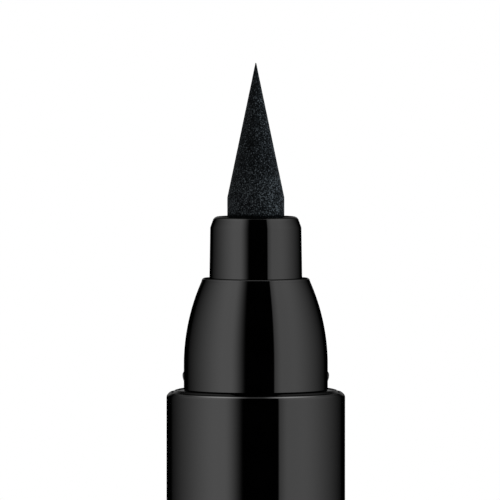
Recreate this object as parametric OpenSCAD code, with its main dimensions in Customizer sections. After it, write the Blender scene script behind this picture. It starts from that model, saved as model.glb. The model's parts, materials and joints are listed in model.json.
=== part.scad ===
// Liquid eyeliner pen with a fibre point, standing point up on its own posted cap.
// Lengths are in millimetres. Z is the pen's axis, and z = 0 is the closed end of the cap.
// From the tail up: cap, tail plug, barrel with its ink tank and mixing ball, comb
// collector with its wick, nose cone, nib holder and nib.

/* [Barrel] */
// Outside diameter of the barrel and the cap
body_d = 10; // [9.7:0.05:11]
// Wall of the barrel round the collector
barrel_wall = 0.94; // [0.8:0.02:1.3]
// Length of the barrel from its tail face to the top of its mouth
barrel_len = 88; // [70:1:110]
// Height of the rounded mouth, from the full diameter to the foot of the nose cone
mouth_h = 0.5; // [0.4:0.05:0.7]
// Radius of the outer edge at both ends of the barrel
edge_r = 0.25; // [0.15:0.01:0.28]
// Fine concentric rings moulded round the mouth
mouth_rings = 2; // [1:1:3]
// Height of the riser between two of these rings
ring_riser = 0.03; // [0.01:0.005:0.04]
// Step in the bore that the collector stops on
ledge = 0.2; // [0.1:0.05:0.4]

/* [Nose cone] */
// How far its side draws in from the straight foot to the flat top
nose_taper = 1.03; // [0.8:0.01:1.3]
// Height of the straight foot
foot_h = 1.25; // [0.9:0.05:2]
// Height of the whole nose cone above the barrel
nose_h = 6.1; // [5.5:0.1:7]
// Width of the flat top that shows round the collar
nose_ring = 0.405; // [0.3:0.005:0.5]
// Edge radius of the flat top
nose_edge_r = 0.12; // [0.05:0.01:0.15]
// Wall of the nose cone
nose_wall = 0.85; // [0.7:0.05:1]
// Height of the hollow under the holder, above the barrel
hollow_h = 1.5; // [1:0.1:2]
// Step of the flange that sits in the barrel's mouth
flange_step = 0.33; // [0.2:0.01:0.36]
// Thickness of that flange
flange_t = 0.8; // [0.6:0.1:1.2]
// Length of the skirt inside the barrel
skirt_len = 4; // [3:0.25:6]

/* [Snap nubs] */
// Height of the nubs above the foot of the nose cone
nub_z = 0.7; // [0.55:0.05:0.8]
// How far the nubs stand proud
nub_proud = 0.085; // [0.04:0.005:0.1]
// Height of a nub
nub_h = 0.36; // [0.3:0.02:0.4]
// Width of a nub round the nose cone
nub_w = 0.7; // [0.4:0.05:1.2]

/* [Nib holder] */
// Step from the stem out to the foot of the collar
collar_step = 0.395; // [0.3:0.005:0.5]
// Height of the collar
collar_h = 3.47; // [3:0.05:4]
// Draft of the collar on the radius, from its foot to its chamfer
collar_draft = 0.045; // [0:0.005:0.08]
// Height of the chamfer at its top
chamfer_h = 0.62; // [0.4:0.02:0.9]
// Inset of that chamfer on the radius
chamfer_in = 0.22; // [0.1:0.01:0.3]
// Edge radius between chamfer and top face
collar_edge_r = 0.08; // [0.04:0.01:0.12]
// Wall of the stem round the nib
stem_wall = 0.6; // [0.45:0.05:0.8]
// Number of crush ribs that grip the nib
crush_ribs = 4; // [3:1:6]
// Radial gap between the nib and the bore, bridged by the crush ribs
rib_gap = 0.12; // [0.08:0.01:0.2]
// Length of the full grip at the mouth of the bore
grip_len = 1.2; // [0.8:0.1:2]

/* [Nib] */
// Height of the pointed cone
cone_h = 7.65; // [6:0.05:9]
// Shank that shows above the collar
shank_h = 1.06; // [0.6:0.02:1.6]
// Radius of the writing point
point_r = 0.03; // [0.02:0.005:0.1]
// Length of the shank inside the holder
nib_hold = 5.5; // [4.5:0.1:6.5]
// Chamfer at the lower end of the nib
nib_tail = 0.3; // [0.1:0.05:0.5]

/* [Ink feed] */
// Diameter of the relay wick
wick_d = 1.9; // [1.6:0.05:2.1]
// Length of the wick that hangs in the tank
wick_dip = 3; // [1:0.5:6]
// Diameter of the collector's core
core_d = 4; // [3.4:0.1:4.6]
// Thickness of one fin
fin_t = 0.28; // [0.2:0.02:0.32]
// Pitch of the fins
fin_pitch = 0.62; // [0.5:0.02:0.9]
// Length of the comb of fins
comb_len = 14; // [10:0.5:18]
// Radial gap between the fins and the barrel
fin_gap = 0.15; // [0.08:0.01:0.25]
// Width of the capillary slit that feeds the fins
slit_w = 0.16; // [0.1:0.02:0.24]
// Width of the air notch opposite the slit
notch_w = 1.1; // [0.8:0.1:1.6]
// Thickness of the collector's front disc
disc_t = 0.9; // [0.6:0.1:1.4]
// Length of the collector's rear plug
plug_len = 2.6; // [2:0.1:4]
// Section diameter of the two O-rings
oring_d = 0.7; // [0.5:0.05:0.8]

/* [Mixing ball] */
// Diameter of the steel ball
ball_d = 4; // [3:0.1:4.8]
// Radial room round the ball in its cup
ball_room = 0.7; // [0.3:0.05:1]

/* [Tail plug] */
// Room between the end of the stub and the retaining ring in the cap
stub_room = 0.45; // [0.3:0.05:1]
// Chamfer at the end of the stub
stub_chamfer = 0.35; // [0.2:0.05:0.5]
// Wall of the cored stub, at its side and under the ball's cup
stub_wall = 1.6; // [1:0.1:2.5]
// Length of the plug inside the tank
tail_len = 4.6; // [3.5:0.1:7]
// Depth of the shallow cup that the ball rests in
cup_depth = 1.4; // [1:0.1:1.6]
// Fall of the cup's conical floor
dish_h = 0.4; // [0.2:0.05:0.8]

/* [Cap] */
// Length of the cap
cap_len = 44; // [42:0.5:60]
// Closed end of the cap
cap_end = 1.5; // [1:0.1:2.5]
// Edge radius at the closed end
cap_end_r = 0.6; // [0.3:0.05:1]
// Edge radius round the cap's mouth
cap_mouth_r = 0.15; // [0.05:0.01:0.2]
// Depth of the snap groove in the bore
groove_depth = 0.06; // [0.04:0.01:0.12]
// Height of the snap groove
groove_h = 0.7; // [0.6:0.05:0.8]
// Seam between the cap's mouth and the barrel's tail face
seam = 0.05; // [0.03:0.01:0.15]
// Number of ribs that carry the spring
cap_ribs = 8; // [4:1:10]
// Thickness of one rib
cap_rib_t = 0.7; // [0.5:0.05:1]
// How far the seal stands back from the face of the retaining ring
seal_back = 0.1; // [0.05:0.05:0.3]
// Thickness of the retaining ring
keeper_t = 1; // [0.7:0.1:1.4]
// Depth of its groove in the cap
keeper_groove = 0.2; // [0.1:0.05:0.3]

/* [Inner cap] */
// How far the nose cone pushes the inner cap in when the pen is capped
preload = 0.4; // [0.2:0.05:0.6]
// Thickness of the soft seal on its mouth
seal_t = 0.6; // [0.4:0.05:0.8]
// Thickness of its flange
neck_flange_t = 0.8; // [0.6:0.1:1.2]
// Wall of its narrow sleeve
sleeve_wall = 0.75; // [0.6:0.05:0.8]
// Room left round and past the nib
nib_room = 0.4; // [0.3:0.05:0.5]
// Room past the point of the nib
point_room = 1.8; // [1:0.1:3]
// Spring length at rest
spring_len = 10; // [8:0.5:12]
// Number of coils
coils = 6; // [4:1:8]
// Diameter of the spring wire
wire_d = 0.35; // [0.25:0.05:0.4]

/* [Fits] */
// Radial clearance of pieces that are pushed together
fit = 0.03; // [0.02:0.005:0.05]
// Radial clearance of pieces that slide
slip = 0.1; // [0.06:0.01:0.12]
// Radial clearance between the nubs and the cap's bore
nub_slip = 0.015; // [0.01:0.005:0.03]

/* [Hidden] */
$fn = 96;

// Overrun of cuts
over = 0.5;
// Points on a quarter of a small edge arc, and on the long arc of the nose cone
edge_steps = 6;
nose_steps = 24;
// Rings in one coil of the spring and sides of its wire
coil_rings = 8;
wire_sides = 6;

gloss_black = [0.03, 0.03, 0.035];
felt_black = [0.08, 0.085, 0.09];
inner_grey = [0.45, 0.46, 0.48];
wick_white = [0.88, 0.88, 0.85];
seal_grey = [0.2, 0.2, 0.22];
steel = [0.75, 0.76, 0.78];

// Radii, worked inward from the outside of the barrel
body_r = body_d / 2;
feed_bore_r = body_r - barrel_wall;
foot_r = feed_bore_r - fit;
nose_top_r = foot_r - nose_taper;
collar_r = nose_top_r - nose_ring;
stem_r = collar_r - collar_step;
nib_r = stem_r - stem_wall;
wick_r = wick_d / 2;
core_r = core_d / 2;
ball_r = ball_d / 2;
oring_r = oring_d / 2;
wire_r = wire_d / 2;
flange_r = foot_r + flange_step;
seat_r = flange_r + fit;
tank_r = feed_bore_r - ledge;
cup_r = ball_r + ball_room;
hollow_r = foot_r - nose_wall;
fin_r = feed_bore_r - fin_gap;
cap_bore_r = foot_r + nub_proud + nub_slip;
neck_flange_r = cap_bore_r - slip;
// The spring's wire runs straight from ring to ring, and the neck clears it between them
coil_r = cap_bore_r - slip - wire_r;
neck_r = coil_r * cos(180 / coil_rings) - wire_r - slip;
neck_bore_r = collar_r + slip;
neck_wall = neck_r - neck_bore_r;
keeper_r = neck_r + slip;
rib_r = neck_r + slip;
sleeve_bore_r = nib_r + nib_room;
sleeve_r = sleeve_bore_r + sleeve_wall;

// Heights of the inner cap's seal and the retaining ring: when the pen is capped, the flat
// top of the nose cone meets the seal and pushes it in
z_seal = cap_len - nose_h + preload;
z_keeper = z_seal + seal_back;

// Heights on the pen
z_tail = cap_len + seam;
z_mouth = z_tail + barrel_len;
z_flange = z_mouth - flange_t;
z_skirt = z_flange - skirt_len;
z_comb = z_skirt - disc_t;
z_plug = z_comb - comb_len;
z_ledge = z_plug - plug_len;
z_hollow = z_mouth + hollow_h;
z_nose = z_mouth + nose_h;
z_collar = z_nose + collar_h;
z_nib_foot = z_collar - nib_hold;
z_cone = z_collar + shank_h;
z_wick_end = z_ledge - wick_dip;
z_tail_seat = z_tail + flange_t;
z_tail_top = z_tail_seat + tail_len;
z_stub = z_keeper + stub_room;
z_cup = z_tail_top - cup_depth;
dish_tilt = atan(dish_h / cup_r);
z_ball = z_cup + ball_r / cos(dish_tilt) + fit;

// Heights inside the cap
z_keeper_foot = z_keeper - keeper_t;
z_neck_flange = z_keeper_foot - seam;
z_spring_top = z_neck_flange - neck_flange_t;
z_spring_foot = z_spring_top - spring_len;
z_neck = z_seal - seal_t;
z_neck_floor = z_seal - collar_h - nib_room;
z_sleeve_floor = z_seal - collar_h - shank_h - cone_h - point_room;
z_sleeve_end = z_sleeve_floor - sleeve_wall;

// Points of an arc about [cr, cz], from angle a0 to a1
function arc(cr, cz, r, a0, a1, steps) =
    [for (i = [0:steps]) let (a = a0 + (a1 - a0) * i / steps)
        [cr + r * cos(a), cz + r * sin(a)]];

module revolve(points) {
    rotate_extrude() polygon(points);
}

// A ring with a round section, such as an O-ring
module torus(ring_r, section_r, z) {
    translate([0, 0, z]) rotate_extrude() translate([ring_r, 0]) circle(r = section_r, $fn = 32);
}

module bore(r, z0, z1) {
    translate([0, 0, z0]) cylinder(r = r, h = z1 - z0);
}

// Two snap nubs, left and right. Each has a short slope on one side and a long one on the
// other: side is 1 where the long slope is below and -1 where it is above.
nub_crown_share = 0.78;

module snap_nubs(z, side) {
    intersection() {
        revolve([[foot_r - nub_proud, z + side * nub_h / 2],
                 [foot_r, z + side * nub_h / 2],
                 [foot_r + nub_proud * nub_crown_share, z + side * nub_h / 4],
                 [foot_r + nub_proud, z],
                 [foot_r + nub_proud * nub_crown_share, z - side * nub_h / 4],
                 [foot_r, z - side * nub_h],
                 [foot_r - nub_proud, z - side * nub_h]]);
        translate([-body_r, -nub_w / 2, z - nub_h]) cube([2 * body_r, nub_w, 2 * nub_h]);
    }
}

// Cap

module cap_shell() color(gloss_black) {
    groove_z = cap_len - (nub_z - seam);
    revolve(concat(
        [[0, 0]],
        arc(body_r - cap_end_r, cap_end_r, cap_end_r, -90, 0, edge_steps),
        arc(body_r - cap_mouth_r, cap_len - cap_mouth_r, cap_mouth_r, 0, 90, edge_steps),
        [[cap_bore_r + cap_mouth_r, cap_len],
         [cap_bore_r, cap_len - cap_mouth_r],
         [cap_bore_r, groove_z + groove_h / 2],
         [cap_bore_r + groove_depth, groove_z + groove_h / 2 - groove_depth],
         [cap_bore_r + groove_depth, groove_z - groove_h / 2 + groove_depth],
         [cap_bore_r, groove_z - groove_h / 2],
         [cap_bore_r, z_keeper],
         [cap_bore_r + keeper_groove, z_keeper],
         [cap_bore_r + keeper_groove, z_keeper_foot],
         [cap_bore_r, z_keeper_foot],
         [cap_bore_r, cap_end],
         [0, cap_end]]));
    for (i = [0:cap_ribs - 1]) rotate([0, 0, 360 * i / cap_ribs]) cap_rib();
}

// One rib, from the closed end up to the foot of the spring
module cap_rib() {
    translate([rib_r, -cap_rib_t / 2, cap_end - fit])
        cube([cap_bore_r + fit - rib_r, cap_rib_t, z_spring_foot - cap_end + fit]);
}

module cap_retaining_ring() color(inner_grey) {
    lead = keeper_t / 4;
    revolve([[keeper_r, z_keeper_foot + fit],
             [cap_bore_r + keeper_groove - fit, z_keeper_foot + fit],
             [cap_bore_r + keeper_groove - fit, z_keeper - fit],
             [keeper_r + lead, z_keeper - fit],
             [keeper_r, z_keeper - fit - lead]]);
}

// The spring is one wire that winds up from the ribs to the flange of the inner cap
spring_rise = spring_len - wire_d;
function coil_centre(i) =
    let (a = 360 * i / coil_rings)
    [coil_r * cos(a), coil_r * sin(a), z_spring_foot + wire_r + spring_rise * i / (coils * coil_rings)];
function coil_ring(i) =
    let (a = 360 * i / coil_rings, c = coil_centre(i))
    [for (k = [0:wire_sides - 1]) let (b = 360 * k / wire_sides)
        c + wire_r * [cos(b) * cos(a), cos(b) * sin(a), sin(b)]];
coil_last = coils * coil_rings;
coil_points = [for (i = [0:coil_last]) each coil_ring(i)];
coil_side_faces = [for (i = [0:coil_last - 1], k = [0:wire_sides - 1])
    let (a = i * wire_sides + k, b = i * wire_sides + (k + 1) % wire_sides)
    each [[a, b, b + wire_sides], [a, b + wire_sides, a + wire_sides]]];
coil_end_faces = [for (k = [1:wire_sides - 2]) each [
    [0, k + 1, k],
    [coil_last * wire_sides, coil_last * wire_sides + k, coil_last * wire_sides + k + 1]]];
// Least gap of the wire to itself, over points at least half a coil apart
spring_gap = min([for (i = [0:coil_last], j = [0:coil_last]) if (j - i > coil_rings / 2)
    norm(coil_centre(i) - coil_centre(j))]) - wire_d;
echo(spring_gap = spring_gap);

module cap_spring() color(steel) {
    polyhedron(points = coil_points, faces = concat(coil_side_faces, coil_end_faces));
}

// Cup that the spring presses over the collar, so that the nib stays wet
module inner_cap() color(inner_grey) {
    lead = neck_flange_t / 4;
    revolve([[0, z_sleeve_end],
             [sleeve_r, z_sleeve_end],
             [sleeve_r, z_neck_floor - neck_wall - lead],
             [neck_r, z_neck_floor - lead],
             [neck_r, z_spring_top],
             [neck_flange_r, z_spring_top],
             [neck_flange_r, z_neck_flange - lead],
             [neck_flange_r - lead, z_neck_flange],
             [neck_r, z_neck_flange],
             [neck_r, z_neck],
             [neck_bore_r, z_neck],
             [neck_bore_r, z_neck_floor],
             [sleeve_bore_r, z_neck_floor - (neck_bore_r - sleeve_bore_r)],
             [sleeve_bore_r, z_sleeve_floor],
             [0, z_sleeve_floor]]);
}

module inner_cap_seal() color(seal_grey) {
    lip = seal_t / 3;
    revolve([[neck_bore_r, z_neck],
             [neck_r, z_neck],
             [neck_r, z_seal - lip],
             [neck_r - lip, z_seal],
             [neck_bore_r + lip / 2, z_seal],
             [neck_bore_r, z_seal - lip / 2]]);
}

// Barrel

// The mouth falls from the flange seat to the edge in fine rings with small risers
mouth_tilt = 70;
mouth_lead_share = 0.25;
mouth_in_r = seat_r;
mouth_round_r = body_r - edge_r + edge_r * cos(mouth_tilt);
mouth_round_z = z_mouth - mouth_h + edge_r * sin(mouth_tilt);
mouth_top_z = z_mouth - mouth_lead_share * (mouth_h - edge_r);
mouth_w = (mouth_round_r - mouth_in_r) / mouth_rings;
mouth_fall = (mouth_top_z - mouth_round_z) / mouth_rings;
mouth_points = [for (i = [mouth_rings - 1:-1:0])
    let (riser = i == mouth_rings - 1 ? 0 : ring_riser) each [
    [mouth_in_r + mouth_w * (i + 1), mouth_top_z - mouth_fall * (i + 1) + riser],
    [mouth_in_r + mouth_w * i, mouth_top_z - mouth_fall * i]]];

module barrel() color(gloss_black) {
    revolve(concat(
        [[seat_r, z_tail]],
        arc(body_r - edge_r, z_tail + edge_r, edge_r, -90, 0, edge_steps),
        arc(body_r - edge_r, z_mouth - mouth_h, edge_r, 0, mouth_tilt, edge_steps),
        mouth_points,
        [[seat_r, z_flange],
         [feed_bore_r, z_flange],
         [feed_bore_r, z_ledge],
         [tank_r, z_ledge - ledge],
         [tank_r, z_tail_seat],
         [seat_r, z_tail_seat]]));
}

// Plug that closes the tank, with a cup for the ball on top and the cored stub for the cap
module tail_plug() color(gloss_black) {
    plug_r = tank_r - fit;
    groove_z = z_tail_seat + tail_len / 2;
    difference() {
        union() {
            revolve([[0, z_stub],
                     [foot_r - stub_chamfer, z_stub],
                     [foot_r, z_stub + stub_chamfer],
                     [foot_r, z_tail],
                     [flange_r, z_tail],
                     [flange_r, z_tail_seat],
                     [plug_r, z_tail_seat],
                     [plug_r, z_tail_top - edge_r],
                     [plug_r - edge_r, z_tail_top],
                     [0, z_tail_top]]);
            snap_nubs(z_tail - nub_z, -1);
        }
        revolve([[0, z_cup],
                 [cup_r, z_cup + dish_h],
                 [cup_r, z_tail_top + over],
                 [0, z_tail_top + over]]);
        bore(foot_r - stub_wall, z_stub - over, z_cup - stub_wall);
        oring_groove(plug_r, tank_r, groove_z);
    }
}

module tail_plug_o_ring() color(seal_grey) {
    torus(tank_r - fit - oring_r, oring_r, z_tail_seat + tail_len / 2);
}

// Groove for an O-ring that just meets a bore of radius wall_r
module oring_groove(plug_r, wall_r, z) {
    floor_r = wall_r - oring_d - 2 * fit;
    revolve([[floor_r, z - oring_r - fit],
             [plug_r + over, z - oring_r - fit],
             [plug_r + over, z + oring_r + fit],
             [floor_r, z + oring_r + fit]]);
}

module mixing_ball() color(steel) {
    translate([0, 0, z_ball]) sphere(r = ball_r);
}

// Ink feed

fins = floor((comb_len - fin_t) / fin_pitch);
comb_points = [for (i = [0:fins - 1]) let (z = z_comb - (i + 1) * fin_pitch) each [
    [core_r, z + fin_t],
    [fin_r, z + fin_t],
    [fin_r, z],
    [core_r, z]]];

// Comb of thin fins that holds the ink that the tank pushes out when it warms up
module collector() color(inner_grey) {
    hub_r = hollow_r - fit;
    disc_r = feed_bore_r - fit;
    hub_lead = fin_t;
    wick_bore_r = wick_r + fit;
    difference() {
        revolve(concat(
            [[0, z_ledge + fit], [disc_r, z_ledge + fit], [disc_r, z_plug], [core_r, z_plug]],
            [for (i = [len(comb_points) - 1:-1:0]) comb_points[i]],
            [[core_r, z_comb],
             [disc_r, z_comb],
             [disc_r, z_skirt - fit],
             [hub_r, z_skirt - fit],
             [hub_r, z_hollow - fit - hub_lead],
             [hub_r - hub_lead, z_hollow - fit],
             [0, z_hollow - fit]]));
        bore(wick_bore_r, z_ledge - over, z_hollow + over);
        oring_groove(disc_r, feed_bore_r, z_plug - plug_len / 2);
        capillary_slit(disc_r);
        air_notch(hub_r, disc_r);
    }
}

// Slit from the wick out to the rims of the fins, closed at both ends of the comb
module capillary_slit(disc_r) {
    translate([-slit_w / 2, -disc_r - over, z_plug]) cube([slit_w, disc_r + over, comb_len]);
}

// Air way along the fins, out past the front disc and up the side of the hub
module air_notch(hub_r, disc_r) {
    translate([-notch_w / 2, (core_r + fin_r) / 2, z_plug])
        cube([notch_w, disc_r + over, comb_len + disc_t + over]);
    translate([-notch_w / 2, hub_r - hub_r / 4, z_comb])
        cube([notch_w, hub_r, z_hollow - z_comb + over]);
}

module collector_o_ring() color(seal_grey) {
    torus(feed_bore_r - fit - oring_r, oring_r, z_plug - plug_len / 2);
}

module relay_wick() color(wick_white) {
    bore(wick_r, z_wick_end, z_nib_foot - fit);
}

// Nose

// The side of the nose cone is one arc, upright at the top of the straight foot
side_h = nose_h - foot_h;
side_in = foot_r - nose_top_r;
side_r = (side_h * side_h + side_in * side_in) / (2 * side_in);
side_sweep = asin((side_h - nose_edge_r) / side_r);
side_top_r = foot_r - side_r + side_r * cos(side_sweep);

module nose_cone() color(gloss_black) {
    stem_bore_r = stem_r + fit;
    flange_edge = flange_step / 4;
    skirt_r = foot_r;
    difference() {
        union() {
            revolve(concat(
                [[0, z_skirt],
                 [skirt_r - flange_edge, z_skirt],
                 [skirt_r, z_skirt + flange_edge],
                 [skirt_r, z_flange],
                 [flange_r, z_flange],
                 [flange_r, z_mouth - flange_edge],
                 [flange_r - flange_edge, z_mouth],
                 [foot_r, z_mouth]],
                arc(foot_r - side_r, z_mouth + foot_h, side_r, 0, side_sweep, nose_steps),
                arc(side_top_r - nose_edge_r, z_nose - nose_edge_r, nose_edge_r,
                    side_sweep, 90, edge_steps),
                [[0, z_nose]]));
            snap_nubs(z_mouth + nub_z, 1);
        }
        bore(hollow_r, z_skirt - over, z_hollow);
        bore(stem_bore_r, z_hollow - over, z_nose + over);
    }
}

// Collar with a stem that reaches down through the nose cone to the collector
module nib_holder() color(gloss_black) {
    top_r = collar_r - collar_draft - chamfer_in;
    chamfer_tilt = atan(chamfer_in / chamfer_h);
    nib_bore_r = nib_r + fit;
    loose_bore_r = nib_r + rib_gap;
    difference() {
        revolve(concat(
            [[0, z_hollow],
             [stem_r - edge_r, z_hollow],
             [stem_r, z_hollow + edge_r],
             [stem_r, z_nose],
             [collar_r, z_nose],
             [collar_r - collar_draft, z_collar - chamfer_h]],
            arc(top_r + chamfer_in * collar_edge_r / chamfer_h - collar_edge_r * cos(chamfer_tilt),
                z_collar - collar_edge_r, collar_edge_r, chamfer_tilt, 90, edge_steps),
            [[0, z_collar]]));
        bore(nib_bore_r, z_collar - grip_len - over, z_collar + over);
        difference() {
            bore(loose_bore_r, z_nib_foot - fit, z_collar - grip_len);
            for (i = [0:crush_ribs - 1]) rotate([0, 0, 360 * (i + 1 / 2) / crush_ribs])
                translate([nib_bore_r, -rib_gap, z_nib_foot]) cube([nib_r, 2 * rib_gap, nib_hold]);
        }
        bore(wick_r + fit, z_hollow - over, z_nib_foot);
    }
}

// Felt nib: a straight shank and a long pointed cone
module nib() color(felt_black) {
    half_angle = atan(nib_r / cone_h);
    point_z = z_cone + cone_h - point_r / sin(half_angle);
    revolve(concat(
        [[0, z_nib_foot],
         [nib_r - nib_tail, z_nib_foot],
         [nib_r, z_nib_foot + nib_tail],
         [nib_r, z_cone]],
        arc(0, point_z, point_r, half_angle, 90, edge_steps)));
}

cap_shell();
cap_retaining_ring();
cap_spring();
inner_cap();
inner_cap_seal();
barrel();
tail_plug();
tail_plug_o_ring();
mixing_ball();
collector();
collector_o_ring();
relay_wick();
nose_cone();
nib_holder();
nib();
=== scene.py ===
import json
import math

import bmesh
import bpy
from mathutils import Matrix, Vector, noise


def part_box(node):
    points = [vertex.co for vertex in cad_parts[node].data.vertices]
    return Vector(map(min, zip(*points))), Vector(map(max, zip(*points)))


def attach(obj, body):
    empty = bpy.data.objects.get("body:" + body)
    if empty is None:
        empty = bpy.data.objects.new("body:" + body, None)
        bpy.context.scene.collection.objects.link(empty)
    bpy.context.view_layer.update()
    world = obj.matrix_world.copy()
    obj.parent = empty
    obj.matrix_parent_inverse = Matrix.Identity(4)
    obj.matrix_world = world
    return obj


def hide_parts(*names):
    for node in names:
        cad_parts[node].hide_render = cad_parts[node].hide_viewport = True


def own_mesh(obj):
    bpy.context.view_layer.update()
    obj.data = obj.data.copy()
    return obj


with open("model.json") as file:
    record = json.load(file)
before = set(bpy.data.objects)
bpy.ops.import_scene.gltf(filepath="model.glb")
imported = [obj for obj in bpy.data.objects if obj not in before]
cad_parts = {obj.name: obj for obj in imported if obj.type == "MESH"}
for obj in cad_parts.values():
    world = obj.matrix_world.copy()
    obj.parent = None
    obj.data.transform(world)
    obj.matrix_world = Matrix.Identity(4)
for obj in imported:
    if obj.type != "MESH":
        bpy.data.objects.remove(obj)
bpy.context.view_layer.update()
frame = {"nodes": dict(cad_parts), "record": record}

# Sizes are in millimetres, and MM brings them to metres. Z is the pen's axis, and -Y its front.
MM = 0.001


def round_node(name):
    """Outside radius, lowest z and highest z of a CAD node that is round about Z."""
    low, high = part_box(name)
    radius = max(-low[0], -low[1], high[0], high[1])
    return [round(c / MM, 4) for c in (radius, low[2], high[2])]


# Sizes that the frame gives. The collector's disc is as wide as the nose cone's straight foot.
BODY_R, Z_TAIL, _ = round_node("barrel")
FLANGE_R, Z_SKIRT, Z_NOSE = round_node("nose_cone")
COLLAR_R, Z_HOLLOW, Z_COLLAR = round_node("nib_holder")
NIB_R, Z_NIB_FOOT, _ = round_node("nib")
FOOT_R, Z_PLUG, _ = round_node("collector")
WICK_R, _, _ = round_node("relay_wick")
COIL_OUT_R, Z_COIL, Z_COIL_TOP = round_node("cap_spring")

# Sizes that the same pieces have inside, or between their ends
FIT = 0.03
FLANGE_T = 0.8
LEDGE = 0.2
NOSE_H = 6.1
NOSE_WALL = 0.85
NOSE_RING = 0.37
COLLAR_STEP = 0.395
SHANK_H = 1.06

SEAT_R = FLANGE_R + FIT
FEED_BORE_R = FOOT_R + FIT
TANK_R = FEED_BORE_R - LEDGE
HOLLOW_R = FOOT_R - NOSE_WALL
NOSE_TOP_R = COLLAR_R + NOSE_RING
STEM_R = COLLAR_R - COLLAR_STEP
WICK_BORE_R = WICK_R + FIT
Z_TAIL_SEAT = Z_TAIL + FLANGE_T
Z_LEDGE = Z_PLUG - FIT
Z_MOUTH = Z_NOSE - NOSE_H
Z_FLANGE = Z_MOUTH - FLANGE_T
Z_CONE = Z_COLLAR + SHANK_H


# Camera: the photograph's near level, long-lens view of the writing end

CAM_X = -0.325
CAM_Y = -480.0
CAM_Z = 158.54
AIM_Z = 139.74
LENS = 618.1
SENSOR_W = 36.0
CLIP_NEAR = 10.0
CLIP_FAR = 20000.0

cam_data = bpy.data.cameras.new("camera")
cam_data.lens = LENS
cam_data.sensor_width = SENSOR_W
cam_data.clip_start = CLIP_NEAR * MM
cam_data.clip_end = CLIP_FAR * MM
cam = bpy.data.objects.new("camera", cam_data)
bpy.context.scene.collection.objects.link(cam)
cam.location = Vector((CAM_X, CAM_Y, CAM_Z)) * MM
aim = Vector((CAM_X, 0.0, AIM_Z)) * MM
cam.rotation_euler = (aim - cam.location).to_track_quat("-Z", "Y").to_euler()
bpy.context.scene.camera = cam
bpy.context.scene.view_settings.view_transform = "Standard"


# Node helpers

def new_material(name):
    mat = bpy.data.materials.new(name)
    mat.use_nodes = True
    tree = mat.node_tree
    shader = tree.nodes["Principled BSDF"]
    return mat, tree, shader


def link(tree, a, b):
    tree.links.new(a, b)


def feed(tree, value, socket):
    """Puts a number, or another node's output, into a socket."""
    if isinstance(value, (int, float)):
        socket.default_value = value
    else:
        link(tree, value, socket)


def calc(tree, operation, a, b=0.0):
    node = tree.nodes.new("ShaderNodeMath")
    node.operation = operation
    feed(tree, a, node.inputs[0])
    feed(tree, b, node.inputs[1])
    return node.outputs[0]


def product(tree, *values):
    out = values[0]
    for value in values[1:]:
        out = calc(tree, "MULTIPLY", out, value)
    return out


def ramp(tree, value, from_a, from_b, to_a=0.0, to_b=1.0):
    """Goes smoothly from to_a, where value is from_a, to to_b, where it is from_b."""
    node = tree.nodes.new("ShaderNodeMapRange")
    node.interpolation_type = "SMOOTHSTEP"
    feed(tree, value, node.inputs["Value"])
    node.inputs["From Min"].default_value = from_a
    node.inputs["From Max"].default_value = from_b
    node.inputs["To Min"].default_value = to_a
    node.inputs["To Max"].default_value = to_b
    return node.outputs["Result"]


def window(tree, value, a, b, c, d):
    """1 between b and c, falling to 0 at a and at d."""
    return product(tree, ramp(tree, value, a, b), ramp(tree, value, d, c))


def object_coords(tree, stretch=(1.0, 1.0, 1.0)):
    coords = tree.nodes.new("ShaderNodeTexCoord")
    mapping = tree.nodes.new("ShaderNodeMapping")
    mapping.inputs["Scale"].default_value = stretch
    link(tree, coords.outputs["Object"], mapping.inputs["Vector"])
    return mapping.outputs["Vector"]


def noise_tex(tree, vector, size_mm, detail=2.0, rough=0.5):
    node = tree.nodes.new("ShaderNodeTexNoise")
    node.inputs["Scale"].default_value = 1.0 / (size_mm * MM)
    node.inputs["Detail"].default_value = detail
    node.inputs["Roughness"].default_value = rough
    link(tree, vector, node.inputs["Vector"])
    return node.outputs["Fac"]


def colour_ramp(tree, value, stops):
    node = tree.nodes.new("ShaderNodeValToRGB")
    elements = node.color_ramp.elements
    while len(elements) < len(stops):
        elements.new(0.5)
    for element, (place, colour) in zip(elements, stops):
        element.position = place
        element.color = (*colour, 1.0)
    link(tree, value, node.inputs["Fac"])
    return node.outputs["Color"]


def bump(tree, height, depth_mm, shader, strength):
    node = tree.nodes.new("ShaderNodeBump")
    node.inputs["Strength"].default_value = strength
    node.inputs["Distance"].default_value = depth_mm * MM
    link(tree, height, node.inputs["Height"])
    link(tree, node.outputs["Normal"], shader.inputs["Normal"])


# Materials

def moulded_gloss(name, dark, light, rough):
    """Glossy moulded plastic: faint colour clouds, fine polish marks and a slight wave."""
    mat, tree, shader = new_material(name)
    vector = object_coords(tree)
    clouds = noise_tex(tree, vector, size_mm=1.6, detail=3.0)
    colour = colour_ramp(tree, clouds, [(0.35, dark), (0.65, light)])
    link(tree, colour, shader.inputs["Base Color"])
    marks = noise_tex(tree, object_coords(tree, stretch=(1.0, 1.0, 0.08)), size_mm=0.03)
    sheen = ramp(tree, marks, 0.3, 0.8, rough * 0.8, rough * 1.3)
    link(tree, sheen, shader.inputs["Roughness"])
    shader.inputs["IOR"].default_value = 1.5
    wave = noise_tex(tree, vector, size_mm=2.5, detail=1.0)
    bump(tree, wave, depth_mm=0.001, shader=shader, strength=0.4)
    return mat


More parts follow.
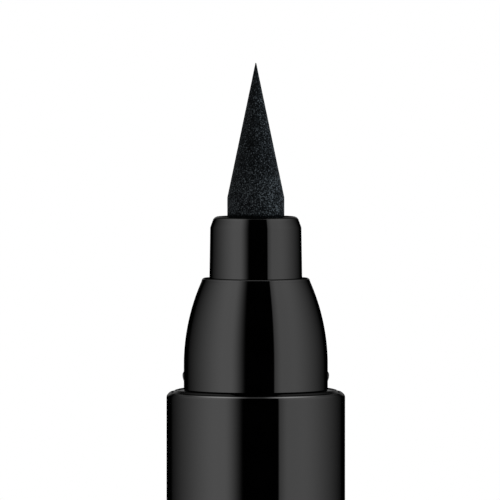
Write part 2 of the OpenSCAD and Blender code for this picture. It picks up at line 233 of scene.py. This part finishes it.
# The felt's grain with its painted glints, its faint clouds, a painted shade just above the
# collar, and a painted light that makes the cone's foot a little lighter and the felt higher up a
# little darker
FELT_GRAIN_AND_GLINTS = 0.076
FELT_CLOUD = 0.6
FELT_CLOUD_DEPTH = 0.14
FELT_PAINTED_SHADE_H = 0.16
FELT_PAINTED_SHADE = -0.22
FELT_PAINTED_LIGHT_FROM = 1.9
FELT_PAINTED_LIGHT_TO = 0.5
FELT_ABOVE = -0.009
FELT_BELOW = 0.022
FELT_STOPS = [(0.37, (0.0006, 0.0008, 0.0010)), (0.505, (0.0033, 0.0039, 0.0045)),
              (0.585, (0.0122, 0.0144, 0.0163)), (0.685, (0.058, 0.067, 0.073))]


def felt(name):
    """Ink-soaked fibre: near black, with a fine grain whose bluish specks are painted highlights
    of fibre ends that catch the light.
    """
    mat, tree, shader = new_material(name)
    vector = object_coords(tree)
    split = tree.nodes.new("ShaderNodeSeparateXYZ")
    link(tree, vector, split.inputs[0])
    height = split.outputs["Z"]
    # The grain is the fibre's own tone, and its brightest specks are painted highlights of fibre
    # ends
    grain = noise_tex(tree, vector, FELT_GRAIN_AND_GLINTS, detail=1.8, rough=0.75)
    clouds = calc(tree, "SUBTRACT", noise_tex(tree, vector, FELT_CLOUD), 0.5)
    tone = calc(tree, "ADD", grain, product(tree, clouds, FELT_CLOUD_DEPTH))
    # Painted shade: the felt is darker just above the collar, like the shadow where it meets the
    # collar
    painted_shade = ramp(tree, height, Z_COLLAR * MM, (Z_COLLAR + FELT_PAINTED_SHADE_H) * MM, FELT_PAINTED_SHADE, 0.0)
    # Painted light: the felt is made lighter at the cone's foot and a little darker higher up
    lighter = ramp(tree, height, (Z_CONE + FELT_PAINTED_LIGHT_FROM) * MM, (Z_CONE + FELT_PAINTED_LIGHT_TO) * MM,
                   FELT_ABOVE, FELT_BELOW)
    tone = calc(tree, "ADD", calc(tree, "ADD", tone, painted_shade), lighter)
    link(tree, colour_ramp(tree, tone, FELT_STOPS), shader.inputs["Base Color"])
    shader.inputs["Roughness"].default_value = 0.95
    shader.inputs["Specular IOR Level"].default_value = 0.05
    bump(tree, grain, depth_mm=0.05, shader=shader, strength=0.8)
    return mat


def matte_plastic(name, dark, light, rough=0.45):
    """Unpolished moulding, fibre or rubber: two close tones and a fine grain."""
    mat, tree, shader = new_material(name)
    vector = object_coords(tree)
    clouds = noise_tex(tree, vector, size_mm=1.2, detail=3.0)
    colour = colour_ramp(tree, clouds, [(0.3, dark), (0.7, light)])
    link(tree, colour, shader.inputs["Base Color"])
    grain = noise_tex(tree, vector, size_mm=0.05)
    sheen = ramp(tree, grain, 0.3, 0.7, rough * 0.85, rough * 1.15)
    link(tree, sheen, shader.inputs["Roughness"])
    bump(tree, grain, depth_mm=0.004, shader=shader, strength=0.5)
    return mat


def metal(name, colour, rough):
    """Bare steel, finely uneven in tone and polish."""
    mat, tree, shader = new_material(name)
    shader.inputs["Metallic"].default_value = 1.0
    marks = noise_tex(tree, object_coords(tree), size_mm=0.04)
    lighter = tuple(min(1.0, c * 1.08) for c in colour)
    darker = tuple(c * 0.9 for c in colour)
    tone = colour_ramp(tree, marks, [(0.3, darker), (0.7, lighter)])
    link(tree, tone, shader.inputs["Base Color"])
    sheen = ramp(tree, marks, 0.3, 0.7, rough * 0.7, rough * 1.3)
    link(tree, sheen, shader.inputs["Roughness"])
    return mat


materials = {
    "gloss_black": moulded_gloss("gloss_black", (0.0001, 0.0001, 0.00012),
                                 (0.0003, 0.0003, 0.00034), 0.035),
    "felt": felt("felt"),
    "inner_plastic": matte_plastic("inner_plastic", (0.38, 0.39, 0.41), (0.46, 0.47, 0.49)),
    "wick_fibre": matte_plastic("wick_fibre", (0.66, 0.66, 0.62), (0.8, 0.8, 0.77), 0.9),
    "seal": matte_plastic("seal", (0.04, 0.04, 0.045), (0.06, 0.06, 0.065), 0.7),
    "spring_steel": metal("spring_steel", (0.62, 0.63, 0.65), 0.28),
    "ball_steel": metal("ball_steel", (0.72, 0.73, 0.75), 0.08),
}
for part in frame["record"]["subparts"]:
    node = frame["nodes"][part["node"]]
    node.data.materials.clear()
    node.data.materials.append(materials[part["material_slot"]])


# Spun pieces

# A radius below ON_AXIS is on the axis, radii closer than SAME_R are the same, and a turn over
# CORNER_TURN degrees is a corner
ON_AXIS = 1e-6
SAME_R = 0.002
CORNER_TURN = 1.0


def arc(cr, cz, r, a0, a1, steps):
    """Points of an arc in the half plane, angles in degrees."""
    points = []
    for i in range(steps + 1):
        a = math.radians(a0 + (a1 - a0) * i / steps)
        points.append((cr + r * math.cos(a), cz + r * math.sin(a)))
    return points


def corner_turn(a, p, b):
    """How far an outline turns at p, coming from a and going to b, in radians."""
    back = Vector((a[0] - p[0], a[1] - p[1]))
    ahead = Vector((b[0] - p[0], b[1] - p[1]))
    return math.pi - back.angle(ahead)


def rounded(points, radius, steps=3, least_turn=20.0):
    """Rounds each corner of a closed outline that turns more than least_turn degrees."""
    out = []
    count = len(points)
    for i, p in enumerate(points):
        a, b = points[i - 1], points[(i + 1) % count]
        va = Vector((a[0] - p[0], a[1] - p[1]))
        vb = Vector((b[0] - p[0], b[1] - p[1]))
        turn = corner_turn(a, p, b)
        if p[0] < ON_AXIS or math.degrees(turn) < least_turn:
            out.append(p)
            continue
        cut = min(radius * math.tan(turn / 2), va.length * 0.4, vb.length * 0.4)
        start = Vector(p) + va.normalized() * cut
        end = Vector(p) + vb.normalized() * cut
        for k in range(steps + 1):
            t = k / steps
            q = start * (1 - t) ** 2 + Vector(p) * 2 * t * (1 - t) + end * t * t
            out.append((q.x, q.y))
    return out


def supported(points, inset, most):
    """Adds points along the straight stretches: near each corner, and never over most apart."""
    out = []
    count = len(points)
    turns = [math.degrees(corner_turn(points[i - 1], p, points[(i + 1) % count]))
             for i, p in enumerate(points)]
    for i, p in enumerate(points):
        q = points[(i + 1) % count]
        out.append(p)
        length = math.hypot(q[0] - p[0], q[1] - p[1])
        if length < 3 * inset or (p[0] < ON_AXIS and q[0] < ON_AXIS):
            continue
        places = [inset / length] if turns[i] > CORNER_TURN else []
        inner = max(1, math.ceil((length - 2 * inset) / most))
        for k in range(1, inner):
            places.append((inset + (length - 2 * inset) * k / inner) / length)
        if turns[(i + 1) % count] > CORNER_TURN:
            places.append(1 - inset / length)
        out += [(p[0] + (q[0] - p[0]) * t, p[1] + (q[1] - p[1]) * t) for t in places]
    return out


def even_angles(count):
    return [2 * math.pi * i / count for i in range(count)]


def new_mesh(name, mesh, sharp_from):
    """Turns a bmesh into smooth-shaded mesh data, sharp at edges over sharp_from degrees."""
    bmesh.ops.recalc_face_normals(mesh, faces=mesh.faces)
    data = bpy.data.meshes.new(name)
    mesh.to_mesh(data)
    mesh.free()
    data.polygons.foreach_set("use_smooth", [True] * len(data.polygons))
    data.set_sharp_from_angle(angle=math.radians(sharp_from))
    return data


def spun(name, outline, angles, body, node, slot, push=None):
    """A closed mesh of revolution from an outline; push moves a point in or out."""
    mesh = bmesh.new()
    rings = []
    for r, z in outline:
        if r < ON_AXIS:
            rings.append([mesh.verts.new((0.0, 0.0, z * MM))])
            continue
        ring = []
        for a in angles:
            rr = r + (push(r, z, a) if push else 0.0)
            ring.append(mesh.verts.new((rr * math.sin(a) * MM, -rr * math.cos(a) * MM, z * MM)))
        rings.append(ring)
    count = len(angles)
    for i, low in enumerate(rings):
        high = rings[(i + 1) % len(rings)]
        if len(low) == 1 and len(high) == 1:
            continue
        for k in range(count):
            m = (k + 1) % count
            if len(low) == 1:
                mesh.faces.new((low[0], high[m], high[k]))
            elif len(high) == 1:
                mesh.faces.new((low[k], low[m], high[0]))
            else:
                mesh.faces.new((low[k], low[m], high[m], high[k]))
    data = new_mesh(name, mesh, 40)
    data.materials.append(materials[slot])
    piece = bpy.data.objects.new(name, data)
    bpy.context.scene.collection.objects.link(piece)
    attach(piece, body)
    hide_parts(node)
    return piece


# Barrel, with its rounded mouth and the fine rings round the nose cone

EDGE_R = 0.28
TAIL_EDGE_STEPS = 12
RIM_DROP = 0.561
RIM_TURN = 45.0
RIM_STEPS = 8
MOUTH_BEVEL = 0.086
LIP_DROP = 0.115
FLANGE_DROP = 0.135
# Inside the bevel, fine rings, three sloping with a level one between each two: the radius and
# the drop below the mouth's height at the end of each
MOUTH_RINGS = [(4.775, 0.2505), (4.65, 0.25), (4.52, 0.1545), (4.455, 0.155), (SEAT_R, LIP_DROP)]

rim = arc(BODY_R - EDGE_R, Z_MOUTH - RIM_DROP, EDGE_R, 0, RIM_TURN, RIM_STEPS)
bevel = [(rim[-1][0] - MOUTH_BEVEL, rim[-1][1] + MOUTH_BEVEL)]
rings = [(r, Z_MOUTH - drop) for r, drop in MOUTH_RINGS]
barrel_outline = (
    [(SEAT_R, Z_TAIL)]
    + arc(BODY_R - EDGE_R, Z_TAIL + EDGE_R, EDGE_R, -90, 0, TAIL_EDGE_STEPS)
    + rim + bevel + rings
    + [(SEAT_R, Z_FLANGE), (FEED_BORE_R, Z_FLANGE), (FEED_BORE_R, Z_LEDGE),
       (TANK_R, Z_LEDGE - LEDGE), (TANK_R, Z_TAIL_SEAT), (SEAT_R, Z_TAIL_SEAT)])
spun("barrel_tube",
     supported(rounded(barrel_outline, 0.012, least_turn=12), inset=0.015, most=12.0),
     even_angles(224), "pen", "barrel", "gloss_black")


# Nose cone, with its two snap nubs

NUB_Z = 0.7
NUB_PROUD = 0.072
NUB_H = 0.36
NUB_W = 0.7
NUB_SIDE = 0.09
NUB_CROWN_POWER = 2.2
NUB_SPAN = 0.42
NUB_STEPS = 16
FOOT_H = 1.25
FOOT_ROW = 0.015
SIDE_STEPS = 40
NOSE_EDGE_R = 0.2
NOSE_EDGE_TURN = 48
NOSE_EDGE_STEPS = 8
NOSE_BEVEL = 0.034
NOSE_CROWN = 0.018
FLANGE_EDGE = 0.0825
FLANGE_BEVEL = 0.03
FLANGE_SLOPE = 0.04

edge_turn = math.radians(NOSE_EDGE_TURN)
edge_z = Z_NOSE + NOSE_CROWN - NOSE_BEVEL - NOSE_EDGE_R * math.sin(edge_turn)
side_h = NOSE_H - FOOT_H
side_in = FOOT_R - NOSE_TOP_R
side_r = (side_h * side_h + side_in * side_in) / (2 * side_in)
side_sweep = math.degrees(math.asin((edge_z - Z_MOUTH - FOOT_H) / side_r))
side_top_r = FOOT_R - side_r + side_r * math.cos(math.radians(side_sweep))
# The top edge: a bend, a narrow bevel, then the top, which falls a hair to the collar
bend = arc(side_top_r - NOSE_EDGE_R, edge_z, NOSE_EDGE_R, side_sweep, NOSE_EDGE_TURN,
           NOSE_EDGE_STEPS)
nose_edge = bend + [(bend[-1][0] - NOSE_BEVEL * math.tan(edge_turn), Z_NOSE + NOSE_CROWN),
                    (COLLAR_R + FIT, Z_NOSE)]


def nub_push(r, z, a):
    """The nubs' height over the straight foot: a short slope above and a long one below."""
    up = z - Z_MOUTH - NUB_Z
    if abs(r - FOOT_R) > SAME_R or not -NUB_H < up < NUB_H / 2:
        return 0.0
    across = abs(abs(math.remainder(a, 2 * math.pi)) - math.pi / 2) * FOOT_R
    side = (NUB_W / 2 - across) / NUB_SIDE
    if side <= 0.0:
        return 0.0
    t = 1 + up / NUB_H if up < 0 else 1 - up / (NUB_H / 2)
    crown = 1 - (1 - t) ** NUB_CROWN_POWER
    side = min(1.0, side)
    return NUB_PROUD * crown * (1 - (1 - side) ** 2)


# Close rows carry the nubs' shape
z_flange_top = Z_MOUTH - FLANGE_DROP
foot_rows = [(FOOT_R, z_flange_top + FOOT_ROW * k) for k in range(4, 75)]
nose_outline = (
    [(HOLLOW_R, Z_SKIRT), (FOOT_R - FLANGE_EDGE, Z_SKIRT), (FOOT_R, Z_SKIRT + FLANGE_EDGE),
     (FOOT_R, Z_FLANGE), (FLANGE_R, Z_FLANGE), (FLANGE_R, z_flange_top - FLANGE_BEVEL),
     (FLANGE_R - FLANGE_BEVEL, z_flange_top), (FOOT_R, z_flange_top + FLANGE_SLOPE)]
    + foot_rows
    + arc(FOOT_R - side_r, Z_MOUTH + FOOT_H, side_r, 0, side_sweep, SIDE_STEPS)
    + nose_edge[1:]
    + [(STEM_R + FIT, Z_NOSE), (STEM_R + FIT, Z_HOLLOW), (HOLLOW_R, Z_HOLLOW)])
angles = even_angles(192)
nub_span = NUB_SPAN / FOOT_R
for centre in (math.pi / 2, 3 * math.pi / 2):
    angles = [a for a in angles if abs(a - centre) > nub_span]
    angles += [centre + nub_span * k / NUB_STEPS for k in range(-NUB_STEPS, NUB_STEPS + 1)]
spun("nose_dome", supported(rounded(nose_outline, 0.008), inset=0.01, most=3.0),
     sorted(angles), "pen", "nose_cone", "gloss_black", nub_push)


# Nib holder: the collar, with its stem and the crush ribs inside

COLLAR_DRAFT = 0.045
CHAMFER_H = 0.62
CHAMFER_IN = 0.22
COLLAR_EDGE_R = 0.3
COLLAR_EDGE_STEPS = 8
STEM_EDGE = 0.25
GRIP_LEN = 1.2
RIB_GAP = 0.12
collar_top_r = COLLAR_R - COLLAR_DRAFT - CHAMFER_IN
chamfer_tilt = math.degrees(math.atan(CHAMFER_IN / CHAMFER_H))
edge_centre_r = (collar_top_r + CHAMFER_IN * COLLAR_EDGE_R / CHAMFER_H
                 - COLLAR_EDGE_R / math.cos(math.radians(chamfer_tilt)))


def rib_push(r, z, a):
    """Four crush ribs stand inward across the loose part of the bore."""
    if abs(r - NIB_R - RIB_GAP) > SAME_R or not Z_NIB_FOOT < z < Z_COLLAR - GRIP_LEN:
        return 0.0
    across = abs(math.remainder(a - math.pi / 4, math.pi / 2)) * r
    return FIT - RIB_GAP if across < RIB_GAP else 0.0


holder_outline = (
    [(WICK_BORE_R, Z_HOLLOW), (STEM_R - STEM_EDGE, Z_HOLLOW), (STEM_R, Z_HOLLOW + STEM_EDGE),
     (STEM_R, Z_NOSE), (COLLAR_R, Z_NOSE), (COLLAR_R - COLLAR_DRAFT, Z_COLLAR - CHAMFER_H)]
    + arc(edge_centre_r, Z_COLLAR - COLLAR_EDGE_R, COLLAR_EDGE_R, chamfer_tilt, 90,
          COLLAR_EDGE_STEPS)
    + [(NIB_R + FIT, Z_COLLAR), (NIB_R + FIT, Z_COLLAR - GRIP_LEN),
       (NIB_R + RIB_GAP, Z_COLLAR - GRIP_LEN), (NIB_R + RIB_GAP, Z_NIB_FOOT - FIT),
       (WICK_BORE_R, Z_NIB_FOOT - FIT)])
spun("nib_collar",
     supported(rounded(holder_outline, 0.012, least_turn=12), inset=0.04, most=2.0),
     even_angles(192), "pen", "nib_holder", "gloss_black", rib_push)


# Nib: pressed fibre, ground to a long point

CONE_H = 7.65
POINT_R = 0.03
NIB_TAIL = 0.3
NIB_LEAD = 0.05
SHANK_ROWS = 18
CONE_ROWS = 130
POINT_STEPS = 5
# The surface's grain: its depth, the sizes and shares of its two parts, how far it is sunk, and
# over what height above the collar and what radius at the point it comes in
GRAIN = 0.006
GRAIN_FINE = 0.07
GRAIN_COARSE = 0.22
FINE_SHARE = 0.7
COARSE_SHARE = 0.5
GRAIN_SUNK = 0.9
GRAIN_FADE_H = 0.1
GRAIN_FADE_R = 0.25
half_angle = math.atan(NIB_R / CONE_H)
point_z = Z_CONE + CONE_H - POINT_R / math.sin(half_angle)


def fibre_push(r, z, a):
    """Fine uneven grain of the fibres, inward only, where the nib shows."""
    shown = min(1.0, max(0.0, (z - Z_COLLAR) / GRAIN_FADE_H)) * min(1.0, r / GRAIN_FADE_R)
    if shown <= 0.0:
        return 0.0
    p = Vector((r * math.sin(a), -r * math.cos(a), z))
    fine = noise.noise(p / GRAIN_FINE)
    coarse = noise.noise(p / GRAIN_COARSE)
    return GRAIN * shown * (FINE_SHARE * fine + COARSE_SHARE * coarse - GRAIN_SUNK)


shank_rows = [(NIB_R, Z_COLLAR + SHANK_H * k / SHANK_ROWS) for k in range(SHANK_ROWS)]
cone_in = NIB_R - POINT_R * math.cos(half_angle)
cone_up = point_z + POINT_R * math.sin(half_angle) - Z_CONE
cone_rows = [(NIB_R - cone_in * k / CONE_ROWS, Z_CONE + cone_up * k / CONE_ROWS)
             for k in range(CONE_ROWS)]
nib_outline = (
    [(0.0, Z_NIB_FOOT), (NIB_R - NIB_TAIL, Z_NIB_FOOT), (NIB_R, Z_NIB_FOOT + NIB_TAIL),
     (NIB_R, Z_COLLAR - NIB_LEAD)]
    + shank_rows + cone_rows
    + arc(0.0, point_z, POINT_R, math.degrees(half_angle), 90, POINT_STEPS)[:-1]
    + [(0.0, point_z + POINT_R)])
spun("nib_point", nib_outline, even_angles(176), "pen", "nib", "felt", fibre_push)


# Cap spring: round wire, pressed together as the inner cap slides in

WIRE_R = 0.175
COIL_R = COIL_OUT_R - WIRE_R
COIL_H = Z_COIL_TOP - Z_COIL
COILS = 6
COIL_STEPS = COILS * 48
WIRE_SIDES = 14
WIRE_EDGE = 0.05
WIRE_END_SHARE = 0.7


def wire_ring(mesh, a, scale=1.0, ahead=0.0):
    """One ring of the wire at the turn a; ahead moves it along the wire."""
    rise = (COIL_H - 2 * WIRE_R) / (2 * math.pi * COILS)
    out = Vector((math.cos(a), math.sin(a), 0.0))
    along = Vector((-math.sin(a) * COIL_R, math.cos(a) * COIL_R, rise)).normalized()
    centre = out * COIL_R + Vector((0.0, 0.0, Z_COIL + WIRE_R + rise * a)) + along * ahead
    over = out.cross(along)
    ring = []
    for k in range(WIRE_SIDES):
        b = 2 * math.pi * k / WIRE_SIDES
        offset = (out * math.cos(b) - over * math.sin(b)) * WIRE_R * scale
        ring.append(mesh.verts.new((centre + offset) * MM))
    return ring


# Both ends of the wire have a small bevel: a last ring, narrower, just past the one before it
coil_mesh = bmesh.new()
last = 2 * math.pi * COILS
wire_rings = [wire_ring(coil_mesh, 0.0, WIRE_END_SHARE), wire_ring(coil_mesh, 0.0, 1.0, WIRE_EDGE)]
wire_rings += [wire_ring(coil_mesh, last * i / COIL_STEPS) for i in range(1, COIL_STEPS)]
wire_rings += [wire_ring(coil_mesh, last, 1.0, -WIRE_EDGE),
               wire_ring(coil_mesh, last, WIRE_END_SHARE)]
for low, high in zip(wire_rings, wire_rings[1:]):
    for k in range(WIRE_SIDES):
        m = (k + 1) % WIRE_SIDES
        coil_mesh.faces.new((low[k], low[m], high[m], high[k]))
coil_mesh.faces.new(wire_rings[0])
coil_mesh.faces.new(wire_rings[-1])
coil_data = new_mesh("coil_wire", coil_mesh, 50)
coil_data.materials.append(materials["spring_steel"])
coil = bpy.data.objects.new("coil_wire", coil_data)
bpy.context.scene.collection.objects.link(coil)
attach(coil, "cap")
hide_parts("cap_spring")
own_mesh(coil)


# Floor: pale, turning white far from the pen, and clear to the gloss

FLOOR_R = 500.0
FLOOR_PALE = (0.9, 0.9, 0.9, 1.0)
FLOOR_WHITE_FROM = 60.0
FLOOR_WHITE_TO = 300.0

floor_mesh = bmesh.new()
bmesh.ops.create_circle(floor_mesh, cap_ends=True, segments=96, radius=FLOOR_R * MM)
floor_data = bpy.data.meshes.new("floor")
floor_mesh.to_mesh(floor_data)
floor_mesh.free()
floor = bpy.data.objects.new("floor", floor_data)
bpy.context.scene.collection.objects.link(floor)
mat, tree, shader = new_material("floor")
shader.inputs["Base Color"].default_value = FLOOR_PALE
shader.inputs["Roughness"].default_value = 0.6
shader.inputs["Specular IOR Level"].default_value = 0.0
coords = tree.nodes.new("ShaderNodeTexCoord")
length = tree.nodes.new("ShaderNodeVectorMath")
length.operation = "LENGTH"
link(tree, coords.outputs["Object"], length.inputs[0])
far = ramp(tree, length.outputs["Value"], FLOOR_WHITE_FROM * MM, FLOOR_WHITE_TO * MM)
white = tree.nodes.new("ShaderNodeEmission")
mix = tree.nodes.new("ShaderNodeMixShader")
link(tree, far, mix.inputs["Fac"])
link(tree, shader.outputs["BSDF"], mix.inputs[1])
link(tree, white.outputs["Emission"], mix.inputs[2])
past = tree.nodes.new("ShaderNodeMixShader")
clear = tree.nodes.new("ShaderNodeBsdfTransparent")
path = tree.nodes.new("ShaderNodeLightPath")
link(tree, path.outputs["Is Glossy Ray"], past.inputs["Fac"])
link(tree, mix.outputs["Shader"], past.inputs[1])
link(tree, clear.outputs["BSDF"], past.inputs[2])
link(tree, past.outputs["Shader"], tree.nodes["Material Output"].inputs["Surface"])
floor_data.materials.append(mat)


# Lamp: a broad soft one from the right, which the gloss doesn't mirror

LAMP_STRENGTH = 4.4
LAMP_SPREAD = 0.6
LAMP_COLOUR = (0.86, 0.94, 1.0)
LAMP_SHINES = (-1.0, 0.05, -0.38)

lamp_data = bpy.data.lights.new("lamp", "SUN")
lamp_data.energy = LAMP_STRENGTH
lamp_data.angle = LAMP_SPREAD
lamp_data.color = LAMP_COLOUR
lamp = bpy.data.objects.new("lamp", lamp_data)
bpy.context.scene.collection.objects.link(lamp)
lamp.rotation_euler = Vector(LAMP_SHINES).to_track_quat("-Z", "Y").to_euler()
lamp.visible_glossy = False


# World: white to the camera, soft boxes to the gloss, and an even light to the rest

PLAIN_LIGHT = 0.72
LEFT_LIGHT = 1.74
RIGHT_LIGHT = 1.47
TOP_LIGHT = 0.5
STRIP_LIGHT = 4.0
BACK_LIGHT = 0.2
ROUND_LIGHT = 1.3
# The way from the pen to the camera, nearly
EYE_Y = -0.998
EYE_Z = 0.056
# The boxes' edges, each from no light to full light. Those of the two boxes at the sides, and of
# the strips overhead, are places on a surface that the camera sees: its turn to the side, from -1
# to 1, or how far it leans back, from 0 to 1. The others are directions.
LEFT_INNER = (-0.132, -0.360)
LEFT_FADE = (-0.978, -0.43)
LEFT_OUTER = (-0.960, -0.922)
RIGHT_CRISP = (0.248, 0.268)
RIGHT_SOFT = (0.236, 0.366)
RIGHT_FADE = (0.98, 0.5)
RIGHT_OUTER = (0.968, 0.942)
SIDES_UPPER = (0.87, 0.60)
MOUTH_LEAN = (0.7010, 0.7040, 0.7102, 0.7132)
NOSE_LEAN = (0.7330, 0.7370, 0.7490, 0.7530)
STRIP_GAIN = (0.06, 0.36)
STRIP_FADE = (0.80, 0.36)
STRIP_LEAST = 0.08
STRIP_OUTER = (1.0, 0.88)
TOP_OUTER = (0.36, 0.24)
TOP_GAIN = 1.8
BACK_UPPER = (0.50, 0.14)
BACK_LOWER = (0.066, 0.092)
BACK_SIDES = (0.40, 0.20)
BACK_TILT = (0.15, -0.15, 0.75, 1.1)
BACK_DEPTH = (0.2, 0.4)
ROUND_EDGE = (0.12, 0.42)
LOW_EDGE = (-0.085, -0.14)

world = bpy.data.worlds.new("world")
bpy.context.scene.world = world
world.use_nodes = True
tree = world.node_tree
coords = tree.nodes.new("ShaderNodeTexCoord")
split = tree.nodes.new("ShaderNodeSeparateXYZ")
link(tree, coords.outputs["Generated"], split.inputs[0])
x, y, z = split.outputs

# The surface that mirrors this direction to the camera: across is its turn, rise its lean
toward = calc(tree, "SUBTRACT", -EYE_Y, y)
up = calc(tree, "ADD", z, EYE_Z)
flat_sq = calc(tree, "ADD", product(tree, x, x), product(tree, toward, toward))
whole_sq = calc(tree, "ADD", flat_sq, product(tree, up, up))
across = calc(tree, "DIVIDE", x, calc(tree, "SQRT", flat_sq))
rise = calc(tree, "DIVIDE", up, calc(tree, "SQRT", whole_sq))

# The two tall boxes at the sides. The right one's inner edge is half crisp and half soft.
left = product(tree, ramp(tree, across, *LEFT_INNER, 0.0, LEFT_LIGHT),
               ramp(tree, across, *LEFT_FADE), ramp(tree, across, *LEFT_OUTER))
right = calc(tree, "ADD", ramp(tree, across, *RIGHT_CRISP, 0.0, RIGHT_LIGHT / 2),
             ramp(tree, across, *RIGHT_SOFT, 0.0, RIGHT_LIGHT / 2))
right = product(tree, right, ramp(tree, across, *RIGHT_FADE), ramp(tree, across, *RIGHT_OUTER))
sides = product(tree, calc(tree, "ADD", left, right), ramp(tree, rise, *SIDES_UPPER))

# Overhead, thin strips that only two bevels mirror: the barrel mouth's and the nose cone's
turn = calc(tree, "ABSOLUTE", across)
strip = product(tree, ramp(tree, turn, *STRIP_GAIN, TOP_LIGHT, STRIP_LIGHT),
                ramp(tree, turn, *STRIP_FADE, STRIP_LEAST, 1.0), ramp(tree, turn, *STRIP_OUTER))
top = ramp(tree, turn, *TOP_OUTER, 0.0, TOP_LIGHT * TOP_GAIN)
sides = calc(tree, "MAXIMUM", sides, product(tree, strip, window(tree, rise, *MOUTH_LEAN)))
sides = calc(tree, "MAXIMUM", sides, product(tree, top, window(tree, rise, *NOSE_LEAN)))

# Low and far behind, a small soft one that only the fine rings of the mouth mirror
back = product(tree, ramp(tree, z, *BACK_UPPER, 0.0, BACK_LIGHT), ramp(tree, z, *BACK_LOWER),
               ramp(tree, calc(tree, "ABSOLUTE", x), *BACK_SIDES), ramp(tree, x, *BACK_TILT),
               ramp(tree, y, *BACK_DEPTH))
sides = calc(tree, "MAXIMUM", sides, back)

# Four more soft boxes stand all round, below and behind what the front view reflects
flat_all = calc(tree, "ADD", product(tree, x, x), product(tree, y, y))
corner = calc(tree, "DIVIDE", calc(tree, "ABSOLUTE", product(tree, x, y)), flat_all)
lobes = product(tree, ramp(tree, corner, *ROUND_EDGE, 0.0, ROUND_LIGHT),
                ramp(tree, z, *LOW_EDGE))
sides = product(tree, sides, ramp(tree, z, *reversed(LOW_EDGE)))
gloss = calc(tree, "ADD", sides, lobes)

# Only the gloss that is seen straight mirrors the boxes
path = tree.nodes.new("ShaderNodeLightPath")
seen = calc(tree, "MAXIMUM", path.outputs["Is Camera Ray"], path.outputs["Is Transmission Ray"])
is_gloss = path.outputs["Is Glossy Ray"]
first = calc(tree, "LESS_THAN", path.outputs["Glossy Depth"], 1.5)
plain = calc(tree, "SUBTRACT", 1.0, calc(tree, "MAXIMUM", seen, is_gloss))
strength = calc(tree, "ADD", seen, product(tree, is_gloss, first, gloss))
strength = calc(tree, "ADD", strength, product(tree, plain, PLAIN_LIGHT))
tree.nodes["Background"].inputs["Color"].default_value = (1.0, 1.0, 1.0, 1.0)
link(tree, strength, tree.nodes["Background"].inputs["Strength"])
